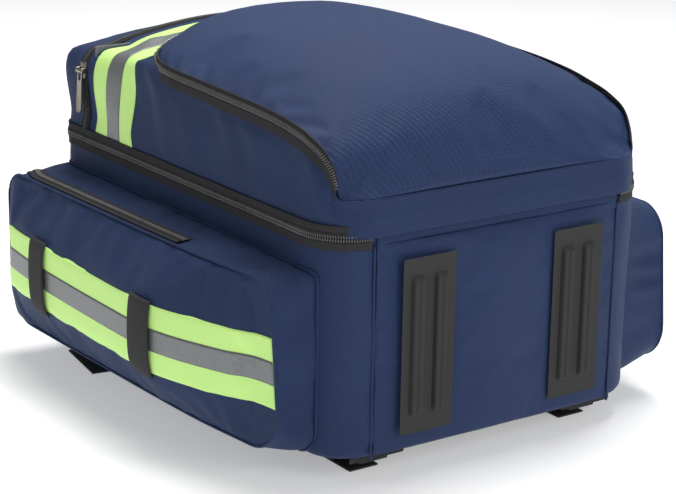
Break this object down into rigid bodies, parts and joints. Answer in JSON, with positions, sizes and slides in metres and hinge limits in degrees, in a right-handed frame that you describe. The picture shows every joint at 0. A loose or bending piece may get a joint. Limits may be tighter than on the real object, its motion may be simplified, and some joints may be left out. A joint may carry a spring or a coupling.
{
  "type": "trauma backpack",
  "caption": "Medical backpack lying on its back: clamshell cover on a zip, domed front flap, side pockets, reflective tape and rubber feet.",
  "frame": {"origin": "middle of the footprint on the floor, under the bag lying on its back", "axes": "+X across the bag's width, +Y from the rubber feet to the carrying handle, +Z from the back panel to the front"},
  "size_m": [0.4114, 0.4455, 0.292],
  "materials": {
    "navy_fabric": "matte twill weave",
    "foot_rubber": "moulded matte",
    "zip_metal": "dark plated",
    "zip_tape": "woven tape with coil",
    "reflective_tape": "fluorescent and silver stripes",
    "black_webbing": "ribbed webbing",
    "buckle_plastic": "moulded",
    "stiffener_sheet": "smooth sheet",
    "black_mesh": "open mesh",
    "pad_fabric": "padded air mesh",
    "lining_fabric": "coated lining"
  },
  "bodies": {
    "root": {"adjuster_webbing_left": "black_webbing", "adjuster_webbing_right": "black_webbing", "back_board": "stiffener_sheet", "back_pad": "pad_fabric", "bottom_board": "stiffener_sheet", "bottom_panel": "navy_fabric", "divider_cross": "lining_fabric", "divider_long": "lining_fabric", "elastic_strip": "black_webbing", "handle_tabs": "black_webbing", "ladder_lock_left": "buckle_plastic", "ladder_lock_right": "buckle_plastic", "left_pocket_loops": "black_webbing", "left_pocket_shell": "navy_fabric", "left_pocket_tape": "reflective_tape", "left_pocket_zip": "zip_tape", "lifter_webbing_left": "black_webbing", "lifter_webbing_right": "black_webbing", "main_zip_lower": "zip_tape", "panel_piping": "black_webbing", "right_pocket_loops": "black_webbing", "right_pocket_shell": "navy_fabric", "right_pocket_tape": "reflective_tape", "right_pocket_zip": "zip_tape", "rubber_foot_left": "foot_rubber", "rubber_foot_right": "foot_rubber", "shoulder_strap_left": "pad_fabric", "shoulder_strap_right": "pad_fabric", "strap_anchor_left": "navy_fabric", "strap_anchor_right": "navy_fabric", "strap_yoke": "pad_fabric", "tub_shell": "navy_fabric"},
    "cover": {"cover_mesh_pocket": "black_mesh", "cover_panel": "lining_fabric", "cover_reflective_band": "reflective_tape", "cover_shell": "navy_fabric", "flap_zip_lower": "zip_tape", "front_organiser": "lining_fabric", "main_zip_upper": "zip_tape", "top_pocket_partition": "lining_fabric", "top_pocket_zip": "zip_tape"},
    "flap": {"flap_shell": "navy_fabric", "flap_zip_upper": "zip_tape"},
    "grab_handle": {"grab_handle": "black_webbing"},
    "flap_left_pull": {"flap_left_pull": "zip_metal"},
    "flap_left_slider": {"flap_left_slider": "zip_metal"},
    "flap_right_pull": {"flap_right_pull": "zip_metal"},
    "flap_right_slider": {"flap_right_slider": "zip_metal"},
    "left_pocket_pull": {"left_pocket_pull": "zip_metal"},
    "left_pocket_slider": {"left_pocket_slider": "zip_metal"},
    "main_left_pull": {"main_left_pull": "zip_metal"},
    "main_left_slider": {"main_left_slider": "zip_metal"},
    "main_right_pull": {"main_right_pull": "zip_metal"},
    "main_right_slider": {"main_right_slider": "zip_metal"},
    "right_pocket_pull": {"right_pocket_pull": "zip_metal"},
    "right_pocket_slider": {"right_pocket_slider": "zip_metal"},
    "top_pull": {"top_pull": "zip_metal"},
    "top_slider": {"top_slider": "zip_metal"}
  },
  "joints": [
    {"name": "cover_hinge", "type": "hinge", "parent": "root", "child": "cover", "pos_m": [0, -0.2123, 0.182], "axis": [1, 0, 0], "range_deg": [0, 110]},
    {"name": "flap_hinge", "type": "hinge", "parent": "cover", "child": "flap", "pos_m": [0, -0.2108, 0.208], "axis": [1, 0, 0], "range_deg": [0, 95]},
    {"name": "handle_swing", "type": "hinge", "parent": "root", "child": "grab_handle", "pos_m": [0, 0.1878, 0.064], "axis": [1, 0, 0], "range_deg": [-50, 60]},
    {"name": "main_left_slide", "type": "slide", "parent": "root", "child": "main_left_slider", "axis": [-1, 0, 0], "range_m": [0, 0.095]},
    {"name": "main_left_pull_swing", "type": "hinge", "parent": "main_left_slider", "child": "main_left_pull", "pos_m": [-0.0075, 0.1871, 0.182], "axis": [0, 0, -1], "range_deg": [0, 120]},
    {"name": "main_right_slide", "type": "slide", "parent": "root", "child": "main_right_slider", "axis": [1, 0, 0], "range_m": [0, 0.095]},
    {"name": "main_right_pull_swing", "type": "hinge", "parent": "main_right_slider", "child": "main_right_pull", "pos_m": [0.0075, 0.1871, 0.182], "axis": [0, 0, 1], "range_deg": [0, 120]},
    {"name": "flap_left_slide", "type": "slide", "parent": "cover", "child": "flap_left_slider", "axis": [-1, 0, 0], "range_m": [0, 0.03]},
    {"name": "flap_left_pull_swing", "type": "hinge", "parent": "flap_left_slider", "child": "flap_left_pull", "pos_m": [-0.0075, 0.1061, 0.274], "axis": [0, 0, -1], "range_deg": [0, 120]},
    {"name": "flap_right_slide", "type": "slide", "parent": "cover", "child": "flap_right_slider", "axis": [1, 0, 0], "range_m": [0, 0.03]},
    {"name": "flap_right_pull_swing", "type": "hinge", "parent": "flap_right_slider", "child": "flap_right_pull", "pos_m": [0.0075, 0.1061, 0.274], "axis": [0, 0, 1], "range_deg": [0, 120]},
    {"name": "top_slide", "type": "slide", "parent": "cover", "child": "top_slider", "axis": [-0.0571, 0, -0.9984], "range_m": [0, 0.034]},
    {"name": "top_pull_swing", "type": "hinge", "parent": "top_slider", "child": "top_pull", "pos_m": [-0.14919, 0.1392, 0.2383], "axis": [0, 1, 0], "range_deg": [0, 150]},
    {"name": "left_pocket_slide", "type": "slide", "parent": "root", "child": "left_pocket_slider", "axis": [0, 0, 1], "range_m": [0, 0.03]},
    {"name": "left_pocket_pull_swing", "type": "hinge", "parent": "left_pocket_slider", "child": "left_pocket_pull", "pos_m": [-0.173, 0.1841, 0.106], "axis": [1, 0, 0], "range_deg": [0, 120]},
    {"name": "right_pocket_slide", "type": "slide", "parent": "root", "child": "right_pocket_slider", "axis": [0, 0, 1], "range_m": [0, 0.03]},
    {"name": "right_pocket_pull_swing", "type": "hinge", "parent": "right_pocket_slider", "child": "right_pocket_pull", "pos_m": [0.173, 0.1841, 0.106], "axis": [1, 0, 0], "range_deg": [0, 120]}
  ]
}
